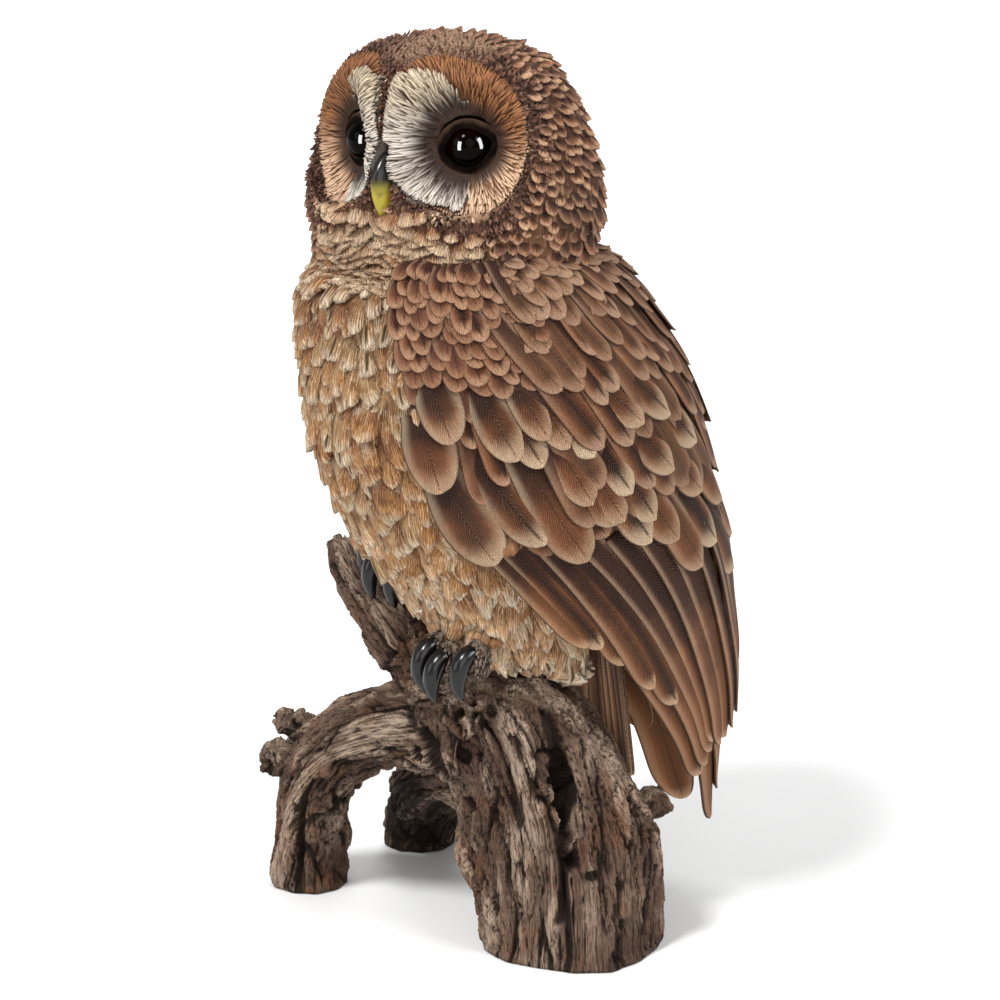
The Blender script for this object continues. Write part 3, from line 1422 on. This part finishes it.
breast = dress_body("breast_feathers", 192, 314, breast_spacing, 3.4, breast_form, 31)
belly = dress_body("belly_feathers", 120, 210, belly_spacing, 4.6, belly_form, 35)
set_down(breast, slot="breast_feathers", finish=breast_finish)
set_down(belly, slot="breast_feathers", finish=belly_finish)
set_down(dress_chin(), slot="breast_feathers", finish=chin_finish)
set_down(dress_crown(), slot="crown_feathers", finish=crown_finish)
set_down(dress_rim(), slot="crown_feathers", finish=rim_finish)


# ---------------------------------------------------------------- eyes, bill and claws
def horn_paint(name, top, tip, grime, start, end):
    """Lacquered horn, its top colour turning to the tip's between two heights in metres."""
    finish = Finish(name, roughness=0.22, specular_ior_level=0.4)
    cloud = finish.blotches(finish.object_place(), 220.0, 4.0)
    colour = finish.blend((finish.height() + (cloud - 0.5) * 0.004).rise(start, end), top, tip)
    colour = finish.blend(cloud.rise(0.5, 0.75) * 0.5, colour, grime)
    finish.feed("Base Color", colour)
    finish.bump(cloud, 0.15, 0.0005)
    return finish.material


def eye_paint():
    finish = Finish("eye_glass", roughness=0.02, specular_ior_level=0.05)
    cloud = finish.blotches(finish.object_place(), 90.0)
    finish.feed("Base Color", finish.blend(cloud.rise(0.4, 0.7), "000000", "010000"))
    return finish.material


def lid_paint():
    """Near black at the glass, browner out on the skirt."""
    finish = Finish("lid_brown", roughness=0.8, specular_ior_level=0.03)
    cloud = finish.blotches(finish.object_place(), 260.0)
    skirt = finish.parts(finish.attribute("skirt"))[0]
    colour = finish.blend(cloud.rise(0.35, 0.7), "070403", "120a07")
    colour = finish.blend((skirt + (cloud - 0.5) * 0.4).rise(0.25, 0.8), colour, "413025")
    finish.feed("Base Color", colour)
    finish.bump(cloud, 0.3, 0.0005)
    return finish.material


def toe_skin_paint():
    finish = Finish("toe_skin", roughness=0.7, specular_ior_level=0.2)
    cloud = finish.blotches(finish.object_place(), 420.0, 4.0, 0.6)
    finish.feed("Base Color", finish.blend(cloud.rise(0.35, 0.65), "2c231d", "7d6c5d"))
    finish.bump(cloud, 1.0, 0.001)
    return finish.material


beak_finish = horn_paint("beak_horn", top="151312", tip="a3932a", grime="2b2622", start=0.344, end=0.335)
claw_finish = horn_paint("claw_horn", top="0b0b0d", tip="2c2a29", grime="2a1f18", start=0.5, end=0.6)
eye_finish = eye_paint()
lid_finish = lid_paint()

# Bill: height, reach forward of its centre line, half width, half depth, in the head's frame.
BEAK = [
    [355, 41, 1.8, 3.0],
    [349.5, 44.3, 3.4, 4.8],
    [342.5, 46.8, 3.9, 5.4],
    [334, 47, 3.1, 4.3],
    [327.5, 45.8, 1.5, 2.0],
    [323.2, 44.2, 0.3, 0.4],
]
BEAK_ASIDE = 0.6
# A claw from its root: reach forward, drop, radius and how far its ring is tipped, in degrees.
CLAW = [
    [-7, -2, 3.4, 90],
    [-1.5, -2.4, 4.2, 75],
    [3, -5.8, 4.5, 42],
    [5, -11.5, 4.2, 12],
    [4.8, -17, 3.1, -8],
    [3.2, -21, 1.6, -24],
    [2.3, -22.8, 0.6, -30],
]
CLAWS = {
    "claw_left_1": (11, -43, 148),
    "claw_left_2": (22.5, -44, 146),
    "claw_left_3": (36, -39.5, 150),
    "claw_right_1": (-17, -40, 177),
    "claw_right_2": (-31, -42.5, 178),
    "claw_right_3": (-43.5, -37.5, 183),
}
# The rough pad of a toe behind each claw: its place from the claw's root, and its half sizes.
TOE_PLACE = np.array([0.4, 5.0, -5.5])
TOE_SIZE = np.array([4.4, 5.2, 8.0])


def tipped(points, degrees):
    """Points tipped about the side-to-side axis: forwards goes down as the degrees grow."""
    cos, sin = math.cos(math.radians(degrees)), math.sin(math.radians(degrees))
    y, z = points[:, 1], points[:, 2]
    return np.stack([points[:, 0], cos * y - sin * z, sin * y + cos * z], -1)


def horn(name, stations, lean):
    """A closed, tapering horn drawn out through its stations: centre, half width and half depth.

    The lean is how far each ring is tipped about the side-to-side axis, in degrees; 0 is level."""
    bpy.ops.object.select_all(action="DESELECT")
    centre, half_width, half_depth = stations[0]
    bpy.ops.mesh.primitive_circle_add(vertices=16, radius=1 / METRE, fill_type="NGON", location=at(centre))
    piece = bpy.context.object
    piece.name = name
    bpy.ops.object.transform_apply(location=True, rotation=True, scale=True)
    ring = (coordinates(piece.data) - centre) * [half_width, half_depth, 1]
    set_coordinates(piece.data, tipped(ring, lean[0]) + centre)
    bpy.ops.object.mode_set(mode="EDIT")
    bpy.ops.mesh.select_all(action="SELECT")
    for (start, wide, _), (end, next_wide, _), turn in zip(stations, stations[1:], np.diff(lean)):
        step = tuple(np.subtract(end, start) / METRE)
        bpy.ops.mesh.extrude_region_move(TRANSFORM_OT_translate={"value": step})
        bpy.ops.transform.resize(value=(next_wide / wide,) * 3, center_override=at(end))
        bpy.ops.transform.rotate(value=math.radians(turn), orient_axis="X", center_override=at(end))
    bpy.ops.object.mode_set(mode="OBJECT")
    edit_all(piece, bpy.ops.mesh.normals_make_consistent, inside=False)
    modify(piece, "SUBSURF", levels=2, render_levels=2)
    piece.data.shade_smooth()
    return piece


def make_beak():
    stations = [(head_to_bird([BEAK_ASIDE, -forward, z]), wide, deep) for z, forward, wide, deep in BEAK]
    return horn("beak_bill", stations, [0] * len(BEAK))


def make_claw(name):
    x, y, z = CLAWS[name]
    stations = [(np.array([x, y - forward, z + drop]), r, r) for forward, drop, r, _ in CLAW]
    return horn(name + "_horn", stations, [lean for *_, lean in CLAW])


def make_toes():
    """The toes behind the claws: lumpy pads in one mesh."""
    bpy.ops.object.select_all(action="DESELECT")
    pads = []
    for root in CLAWS.values():
        bpy.ops.mesh.primitive_uv_sphere_add(segments=28, ring_count=18, radius=1 / METRE, location=(0, 0, 0))
        pad = bpy.context.object
        ball = coordinates(pad.data) + BIRD_AXIS
        lumps = 1 + 0.16 * rough_at(ball, 1.6, root[0])[:, None]
        set_coordinates(pad.data, ball * TOE_SIZE * lumps + TOE_PLACE + np.array(root))
        pads.append(pad)
    for pad in pads:
        pad.select_set(True)
    bpy.ops.object.join()
    piece = bpy.context.object
    piece.name = "toe_pads"
    piece.data.shade_smooth()
    return piece


def make_eye(side, name):
    """A glass eye: a ball with its back cut flat."""
    _, gaze = disc_axes(side)
    centre = head_to_bird(eye_place(side) - gaze * EYE_SUNK + EYE_DROP * DOWN)
    look = turned(gaze, HEAD_TURN)
    bpy.ops.object.select_all(action="DESELECT")
    size = {"segments": 64, "ring_count": 40, "radius": EYE_RADIUS / METRE}
    bpy.ops.mesh.primitive_uv_sphere_add(**size, location=at(centre))
    piece = bpy.context.object
    piece.name = f"eye_glass_{name}"
    bpy.ops.object.transform_apply(location=True, rotation=True, scale=True)
    cut = {"plane_co": at(centre - look * EYE_BACK), "plane_no": tuple(look)}
    edit_all(piece, bpy.ops.mesh.bisect, **cut, use_fill=True, clear_inner=True)
    piece.data.shade_smooth()
    return piece


def make_lids(side, name):
    """The bare lid round one eye: a ring with a skirt, drawn out to a corner at either end."""
    outward, gaze = disc_axes(side)
    bpy.ops.object.select_all(action="DESELECT")
    size = {"major_radius": LID_RADIUS / METRE, "minor_radius": LID_THICKNESS / METRE}
    bpy.ops.mesh.primitive_torus_add(major_segments=72, minor_segments=12, **size)
    piece = bpy.context.object
    piece.name = f"eyelids_{name}"
    points = coordinates(piece.data) + BIRD_AXIS
    turn = np.arctan2(points[:, 1], points[:, 0])
    skirt = np.maximum(np.hypot(points[:, 0], points[:, 1]) - LID_RADIUS, 0) * SKIRT_SPREAD
    points = points + np.stack([np.cos(turn), np.sin(turn), SKIRT_SLOPE + 0 * turn], -1) * skirt[:, None]
    corner = np.maximum(np.cos(turn), 0) ** 6 * OUTER_CORNER
    corner += np.maximum(-np.cos(turn), 0) ** 8 * INNER_CORNER
    out = points[:, 0] + np.sign(points[:, 0]) * corner
    up = points[:, 1] * 0.93
    across = out * math.cos(LID_LEAN) - up * math.sin(LID_LEAN)
    tall = out * math.sin(LID_LEAN) + up * math.cos(LID_LEAN)
    forward = points[:, 2] * 1.2 + LID_FORWARD - 0.02 * np.maximum(np.abs(out) - 7, 0) ** 2
    crease = 0.12 * np.sin(turn * 31)
    local = eye_place(side) + np.outer(across, outward) + np.outer(forward + crease, gaze)
    local[:, 2] += tall - EYE_DROP
    set_coordinates(piece.data, head_to_bird(local))
    add_attribute(piece.data, "skirt", np.stack([skirt, skirt, skirt], -1) / 4)
    edit_all(piece, bpy.ops.mesh.normals_make_consistent, inside=False)
    modify(piece, "SUBSURF", levels=1, render_levels=1)
    piece.data.shade_smooth()
    return piece


eyes = []
for side, name in SIDES:
    eyes.append(set_down(make_eye(side, name), f"eye_{name}", slot="eyes", finish=eye_finish))
    set_down(make_lids(side, name), slot="eyes", finish=lid_finish)
set_down(make_beak(), "beak", slot="horn", finish=beak_finish)
for name in CLAWS:
    set_down(make_claw(name), name, slot="horn", finish=claw_finish)
toe_pads = make_toes()
set_down(dress_toes(toe_pads), slot="toes", finish=toe_finish)
set_down(toe_pads, slot="toes", finish=toe_skin_paint())


# ---------------------------------------------------------------- log
LOG_NODES = ["log_front_leg", "log_perch", "log_branch", "log_arm", "log_left_leg", "log_rear_leg"]
LOG_NODES += ["log_knot_right", "log_knot_left_high", "log_knot_left_low"]
LOG_GRAIN = 1.15
# The way the grain runs: points along each limb and its radius.
GRAIN_LINES = [
    ([[3, -6, 127], [12, 10, 92], [20, 20, 50], [22.5, 24, 0]], 38),
    ([[-79, -37, 171], [-56, -38, 157], [-36, -36, 145], [-10, -28, 127], [18, -14, 108], [36, 0, 84]], 14),
    ([[8, -14, 100], [-30, -32, 96], [-61, -45, 80], [-84, -47, 54], [-94, -45, 26], [-98, -44, 0]], 19),
    ([[-6, 0, 78], [-50, 6, 64], [-86, 16, 40], [-107, 24, 14], [-114, 26, 0]], 21),
]


def rounded(line):
    """A line of points with its corners cut off, over and over."""
    line = np.array(line, float)
    for _ in range(4):
        cut = np.stack([0.75 * line[:-1] + 0.25 * line[1:], 0.25 * line[:-1] + 0.75 * line[1:]], 1)
        line = np.concatenate([line[:1], cut.reshape(-1, 3), line[-1:]])
    return line


def beside(points, start, end):
    """How far along a straight stretch each point is, as a share, and how it is offset from the stretch."""
    step = end - start
    share = np.clip(((points - start) @ step) / (step @ step), 0, 1)[:, None]
    return share, points - (start + step * share)


def along_limb(points, line):
    """Where each point is by one limb's line: its offset, how far along, and how far from the line."""
    line = rounded(line)
    nearest = np.full(len(points), 1e9)
    across, along = np.zeros((len(points), 3)), np.zeros(len(points))
    walked = 0.0
    for start, end in zip(line, line[1:]):
        length = np.linalg.norm(end - start)
        share, offset = beside(points, start, end)
        distance = np.linalg.norm(offset, axis=1)
        nearer = distance < nearest
        across = np.where(nearer[:, None], offset, across)
        along = np.where(nearer, walked + share[:, 0] * length, along)
        nearest = np.where(nearer, distance, nearest)
        walked += length
    return across, along, nearest


def grain_place(points):
    """Where each point is in the wood of its nearest limb: across it, along it, and the limb's number; and
    how much further the next limb is."""
    nearest, next_nearest = np.full(len(points), 1e9), np.full(len(points), 1e9)
    across, along, limb = np.zeros((len(points), 3)), np.zeros(len(points)), np.zeros(len(points))
    for number, (line, radius) in enumerate(GRAIN_LINES):
        own_across, own_along, distance = along_limb(points, line)
        score = distance / radius
        wins = score < nearest
        next_nearest = np.where(wins, nearest, np.minimum(next_nearest, score))
        across = np.where(wins[:, None], own_across, across)
        along = np.where(wins, own_along, along)
        limb = np.where(wins, number, limb)
        nearest = np.minimum(nearest, score)
    return across, along, limb, next_nearest - nearest


# Deep splits between the planks: points along each, half width and depth.
SPLITS = [
    ([[39, -1.5, 115], [42.6, -0.4, 105], [44, 2.8, 90], [46, 4.2, 74], [51, 2, 58], [53, 3, 50]], 5.6, 13),
    ([[50, 0, 58], [54, -2, 40], [52, -4, 24]], 4, 5),
    ([[2, -40, 104], [6, -36, 78], [12, -28, 48], [16, -22, 20], [17, -20, 0]], 2.6, 5),
    ([[30, -22, 112], [34, -18, 92], [36, -14, 78]], 2, 4),
    ([[34, -20, 60], [36, -18, 34], [37, -16, 0]], 2.2, 4),
    ([[58, 14, 92], [62, 20, 60], [63, 24, 30], [63, 24, 0]], 2.2, 3.5),
    ([[-46, -57, 93], [-71, -60, 54], [-81, -58, 33], [-86, -57, 0]], 2.2, 4.5),
    ([[-20, -44, 112], [-50, -50, 100], [-70, -52, 84]], 1.8, 3),
]
# Knots: centre, radius, depth of the hole (below 0 for a lump) and height of the rim.
KNOTS = [
    ([22, -35, 116], 3.2, 4, 1.4),
    ([25.5, -30.6, 121.5], 2.8, 3, 1.2),
    ([29, -32, 117.4], 2.4, 3, 1.2),
    ([44.5, 12.9, 101], 5.5, -3.5, 0),
    ([60.8, 24.6, 19.7], 3, 2, 1.8),
    ([-32.6, -47, 107.5], 4, 4, 1.4),
    ([-32, -41.7, 112.5], 3, 3, 1.2),
    ([-52, -57, 72], 5, -4.5, 0),
    ([50.5, -6.5, 60.5], 5.5, -3, 0),
    ([45, -12, 78], 7.5, -2.6, 0),
    ([-2, -42, 92], 4, 3, 1.2),
    ([57, 10, 44], 3.4, 1.6, 1.5),
]
WAY_ALONG = np.array([0.5, 0.6, 0.62])  # which way the wood's noise moves on along a limb


def split_depth(points, waver):
    """How deep the splits are at each point; the waver makes their edges run unevenly."""
    deepest = np.zeros(len(points))
    for line, half_width, depth in SPLITS:
        line = np.array(line, float)
        for start, end in zip(line, line[1:]):
            distance = np.linalg.norm(beside(points, start, end)[1], axis=1)
            reach = half_width * (1 + waver)
            deepest = np.maximum(deepest, depth * ease(distance / reach, 1.0, 0.3))
    return deepest


def knot_rise(points, waver):
    """How far the knots stand out at each point, and how far it is inside a hole."""
    rise, hole = np.zeros(len(points)), np.zeros(len(points))
    for centre, radius, depth, rim in KNOTS:
        distance = np.linalg.norm(points - np.array(centre, float), axis=1) * (1 + 0.6 * waver)
        inside = ease(distance, radius, 0.55 * radius)
        rise += rim * bell(distance, 1.1 * radius, 0.3 * radius) - depth * inside
        hole = np.maximum(hole, inside * (depth > 0))
    return rise, hole


def carve_log(log):
    """Moves the log's surface in and out: planks, strips and fibres with gaps between, torn plates, chips,
    splits and knots. Keeps for the paint where it is hollow and where it stands proud."""
    hide = hide_of(log, rounds=4)
    points = hide.points
    across, along, limb, apart = grain_place(points)

    def wood(stretch):
        return across + WAY_ALONG * (along * stretch + 61 * limb)[:, None]

    swell = rough_at(wood(0.12), 1 / 24, 3.1)
    plank = rough_at(wood(0.07), 1 / 12, 7.7)
    strip = rough_at(wood(0.08), 1 / 5.6, 1.3)
    fibre = rough_at(wood(0.1), 1 / 2.7, 5.9)
    plate = np.floor(rough_at(wood(0.35), 1 / 12, 4.4) * 8) / 8
    chips = rough_at(wood(0.4), 1 / 5, 8.2)
    lumps = rough_at(points, 1 / 9, 2.2)
    groove = ease(np.abs(plank), 0.08, 0.0)
    seam = ease(np.abs(strip), 0.1, 0.0)
    hair = ease(np.abs(fibre), 0.14, 0.0)
    joint = ease(apart, 0.1, 0.0)
    chipped = ease(chips, 0.22, 0.3)
    splits = split_depth(points, 0.5 * strip + 0.5 * swell)
    knots, hole = knot_rise(points, chips)

    height = 2.0 * swell + 1.5 * plank + 1.0 * strip + 0.4 * fibre + 3.0 * plate + 0.9 * chips + 1.3 * lumps
    height = height + knots - 3.0 * groove - 1.9 * seam - 0.8 * hair - 2.2 * joint - 1.5 * chipped - splits
    off_floor = ease(points[:, 2], 0.3, 5)
    moved = points + hide.normals * (height * off_floor)[:, None]
    moved[:, 2] = np.where(points[:, 2] < 0.8, 0.0, np.maximum(moved[:, 2], 0.0))
    set_coordinates(log.data, moved)

    under = ease(-hide.normals[:, 2], 0.1, 0.6) * (points[:, 2] > 4)
    behind = ease(points[:, 0], -36, -50) * ease(points[:, 1], -22, -8)
    above = ease(hide.normals[:, 2], 0.3, 0.9)
    hollow = 0.8 * groove + 0.65 * seam + 0.4 * hair + 0.5 * joint + 0.35 * chipped + splits / 5 + 0.8 * hole
    hollow = (hollow + 0.25 * under + 0.45 * behind - 0.3 * plank) * (1 - 0.65 * above)
    proud = 0.35 + 0.5 * above + 1.0 * plank + 0.8 * strip + 0.5 * fibre + 0.9 * plate + 0.5 * chips
    add_attribute(log.data, "wood", wood(0.09) / 100)
    add_attribute(log.data, "relief", np.stack([np.clip(hollow, 0, 1), np.clip(proud, 0, 1), swell], -1))


def bark_paint():
    """Grey-brown bark: dark in its hollows and between its fibres, dusted pale where it stands proud."""
    finish = Finish("bark", roughness=0.75, specular_ior_level=0.15)
    hollow, proud, _ = finish.parts(finish.attribute("relief"))
    wood = finish.attribute("wood")
    place = finish.object_place()
    fibre = finish.blotches(wood, 110.0, 5.0, 0.7)
    thread = finish.blotches(wood, 330.0, 3.0, 0.6)
    cloud = finish.blotches(place, 28.0, 3.0)
    colour = finish.blend((cloud + proud * 0.4).rise(0.4, 0.95), "6c5446", "ab917d")
    rust = finish.blotches(place, 46.0, 3.0, 0.6).rise(0.5, 0.68)
    colour = finish.blend(rust * 0.45, colour, "8f5f3c")
    colour = finish.blend(fibre.rise(0.5, 0.38) * 0.85, colour, "2c1d15")
    colour = finish.blend(thread.rise(0.48, 0.36) * 0.7, colour, "20140e")
    dusted = proud.rise(0.3, 0.9) * fibre.rise(0.45, 0.62)
    colour = finish.blend(dusted * 0.7, colour, "cdb8a2")
    colour = finish.blend(hollow.rise(0.15, 0.8) * 0.92, colour, "1c120c")
    finish.feed("Base Color", colour)
    finish.bump(fibre + thread * 0.5 + finish.blotches(place, 700.0, 2.0) * 0.2, 1.0, 0.0026)
    return finish.material


log = joined_copy("log", LOG_NODES)
modify(log, "REMESH", mode="VOXEL", voxel_size=LOG_GRAIN / METRE)
modify(log, "SMOOTH", factor=0.5, iterations=4)
carve_log(log)
log.data.shade_smooth()
set_down(log, *LOG_NODES, slot="bark", finish=bark_paint())


# ---------------------------------------------------------------- studio
CAMERA_TARGET = in_frame([0, 0, 200])
CAMERA_AZIMUTH = math.radians(57)
CAMERA_HEIGHT = math.radians(14)
CAMERA_DISTANCE = 1.0
FRAME_WIDTH = 0.430  # what the camera sees at the target, metres
SENSOR = 36.0
FLOOR_SIZE = 60
FLOOR_GAP = 0.0005
FLOOR_WHITE = (0.86, 0.86, 0.86, 1)
SKY_WHITE = (1, 1, 1, 1)
SKY_STRENGTH = 0.42
WINDOW_TARGET = np.array([0.02, -0.01, 0.22])
WINDOW_DISTANCE = 1.4


def add_floor():
    bpy.ops.object.select_all(action="DESELECT")
    bpy.ops.mesh.primitive_plane_add(size=FLOOR_SIZE, location=(0, 0, -FLOOR_GAP))
    floor = bpy.context.object
    floor.name = "floor"
    finish = Finish("pale_floor", base_color=FLOOR_WHITE, roughness=0.9, specular_ior_level=0.1)
    floor.data.materials.append(finish.material)


def set_sky():
    world = bpy.data.worlds.new("studio")
    bpy.context.scene.world = world
    world.use_nodes = True
    backdrop = world.node_tree.nodes["Background"]
    backdrop.inputs["Color"].default_value = SKY_WHITE
    backdrop.inputs["Strength"].default_value = SKY_STRENGTH


def towards(right, up):
    """A direction from the bird, turned right and up from the camera's by so many degrees."""
    azimuth = CAMERA_AZIMUTH + math.radians(right)
    height = CAMERA_HEIGHT + math.radians(up)
    flat = math.cos(height)
    return np.array([math.sin(azimuth) * flat, -math.cos(azimuth) * flat, math.sin(height)])


def place_facing(name, data, back):
    """Puts a lamp or a camera in the scene, its back turned in this direction."""
    holder = bpy.data.objects.new(name, data)
    holder.rotation_euler = Vector(back).to_track_quat("Z", "Y").to_euler()
    bpy.context.scene.collection.objects.link(holder)
    return holder


def add_window(name, right, up, size, watts):
    """A bright rectangle that shines at the bird from beside the camera."""
    lamp = bpy.data.lights.new(name, "AREA")
    lamp.shape = "RECTANGLE"
    lamp.size, lamp.size_y = size
    lamp.energy = watts
    position = CAMERA_TARGET + towards(right, up) * WINDOW_DISTANCE
    holder = place_facing(name, lamp, position - WINDOW_TARGET)
    holder.location = position
    return holder


def add_sun(name, right, up, strength, spread):
    """A distant lamp in this direction, spread over so many degrees."""
    lamp = bpy.data.lights.new(name, "SUN")
    lamp.energy = strength
    lamp.angle = math.radians(spread)
    return place_facing(name, lamp, towards(right, up))


def light_only(name, pieces, *lamps):
    """Lets these lamps light these pieces and nothing else."""
    lit = bpy.data.collections.new(name)
    for piece in pieces:
        lit.objects.link(piece)
    for lamp in lamps:
        lamp.light_linking.receiver_collection = lit


def add_camera():
    lens = bpy.data.cameras.new("camera")
    lens.sensor_width = SENSOR
    lens.lens = SENSOR * CAMERA_DISTANCE / FRAME_WIDTH
    holder = place_facing("camera", lens, towards(0, 0))
    holder.location = CAMERA_TARGET + towards(0, 0) * CAMERA_DISTANCE
    bpy.context.scene.camera = holder


add_floor()
set_sky()
add_sun("sun_left", -42, 38, 2.35, 12)
add_sun("sun_right", 50, 20, 1.4, 24)
add_sun("sun_front", 5, 8, 0.7, 40)
add_sun("sun_back", 170, 55, 0.8, 30)
add_sun("sun_low", -65, 6, 0.5, 30)
window_left = add_window("window_left", -46, -2, (0.42, 0.9), 260)
window_right = add_window("window_right", 78, 8, (1.5, 1.2), 1100)
light_only("eyes", eyes, window_left, window_right)
light_only("shaded_side", [tail, flights["right"]], add_sun("sun_fill", 0, 0, 3.6, 40))
add_camera()
bpy.context.scene.view_settings.view_transform = "Standard"
